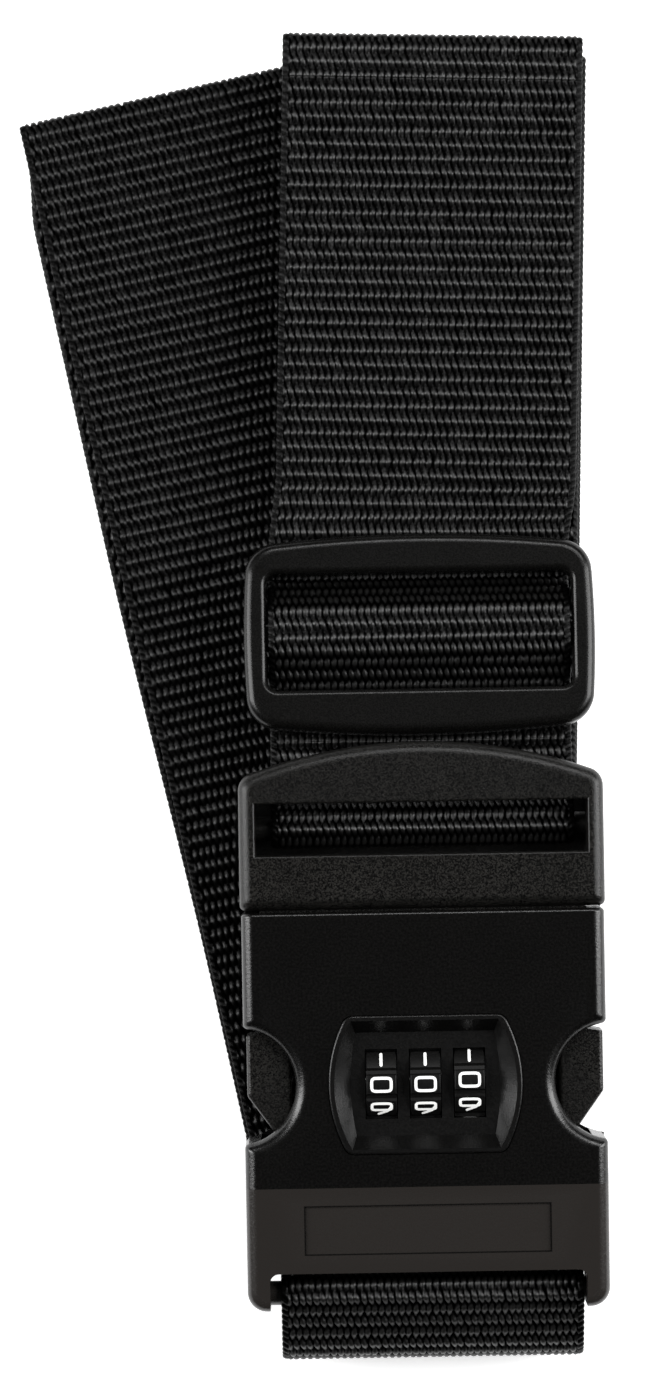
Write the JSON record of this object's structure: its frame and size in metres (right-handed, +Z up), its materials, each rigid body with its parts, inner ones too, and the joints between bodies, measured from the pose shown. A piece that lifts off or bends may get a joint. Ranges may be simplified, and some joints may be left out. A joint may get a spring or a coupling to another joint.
{
  "type": "luggage strap",
  "caption": "Flat folded webbing luggage strap with a side-release buckle, combination dials in the socket and a sliding adjuster.",
  "frame": {"origin": "middle of the folded bundle's footprint, on the surface it lies on", "axes": "+Y along the bundle, from the buckle's sewn end to the folded ends of the webbing; +X to the right seen from above; +Z up, out of the buckle's front"},
  "size_m": [0.0952, 0.2212, 0.0276],
  "materials": {
    "webbing": "ribbed polypropylene weave",
    "thread": "bonded polyester thread",
    "buckle_plastic": "satin spark-eroded acetal",
    "slider_plastic": "satin acetal",
    "bezel_plastic": "fine satin",
    "dial_plastic": "semi-gloss with white digits",
    "inner_plastic": "moulded",
    "steel": "bright"
  },
  "bodies": {
    "socket": {"socket_front_shell": "buckle_plastic", "socket_back_cover": "buckle_plastic", "back_cover_screws": "steel", "dial_bezel": "bezel_plastic", "dial_axle": "steel", "detent_spring": "steel", "lock_bar": "inner_plastic", "lock_bar_springs": "steel", "reset_spring": "steel", "folded_webbing": "webbing", "socket_end_stitching": "thread"},
    "plug": {"plug_body": "buckle_plastic", "plug_webbing": "webbing", "top_run_webbing": "webbing", "adjusting_webbing": "webbing"},
    "left_arm": {"left_arm": "buckle_plastic"},
    "right_arm": {"right_arm": "buckle_plastic"},
    "slider": {"slider_frame": "slider_plastic", "slider_webbing": "webbing", "slider_end_stitching": "thread"},
    "left_dial": {"left_dial": "dial_plastic", "left_dial_sleeve": "inner_plastic"},
    "middle_dial": {"middle_dial": "dial_plastic", "middle_dial_sleeve": "inner_plastic"},
    "right_dial": {"right_dial": "dial_plastic", "right_dial_sleeve": "inner_plastic"},
    "reset_button": {"reset_button": "inner_plastic"}
  },
  "joints": [
    {"name": "plug_release", "type": "slide", "parent": "socket", "child": "plug", "axis": [0, 1, 0], "range_m": [0, 0.04], "deforming": ["left_arm", "right_arm"]},
    {"name": "left_arm_squeeze", "type": "hinge", "parent": "plug", "child": "left_arm", "pos_m": [-0.0068, -0.0406, 0.0193], "axis": [0, 0, 1], "range_deg": [0, 9], "stiffness_Nm_per_rad": 1.9},
    {"name": "right_arm_squeeze", "type": "hinge", "parent": "plug", "child": "right_arm", "pos_m": [0.0426, -0.0406, 0.0193], "axis": [0, 0, -1], "range_deg": [0, 9], "stiffness_Nm_per_rad": 1.9},
    {"name": "slider_adjust", "type": "slide", "parent": "plug", "child": "slider", "axis": [0.0332, 0.9994, 0], "range_m": [0, 0.03], "deforming": ["adjusting_webbing"]},
    {"name": "left_dial_turn", "type": "hinge", "parent": "socket", "child": "left_dial", "pos_m": [0.01065, -0.0638, 0.0199], "axis": [1, 0, 0], "continuous": true},
    {"name": "middle_dial_turn", "type": "hinge", "parent": "socket", "child": "middle_dial", "pos_m": [0.0179, -0.0638, 0.0199], "axis": [1, 0, 0], "continuous": true},
    {"name": "right_dial_turn", "type": "hinge", "parent": "socket", "child": "right_dial", "pos_m": [0.02515, -0.0638, 0.0199], "axis": [1, 0, 0], "continuous": true},
    {"name": "reset_press", "type": "slide", "parent": "socket", "child": "reset_button", "axis": [0, 0, 1], "range_m": [0, 0.0012], "stiffness_N_per_m": 400, "deforming": ["reset_spring"]}
  ]
}
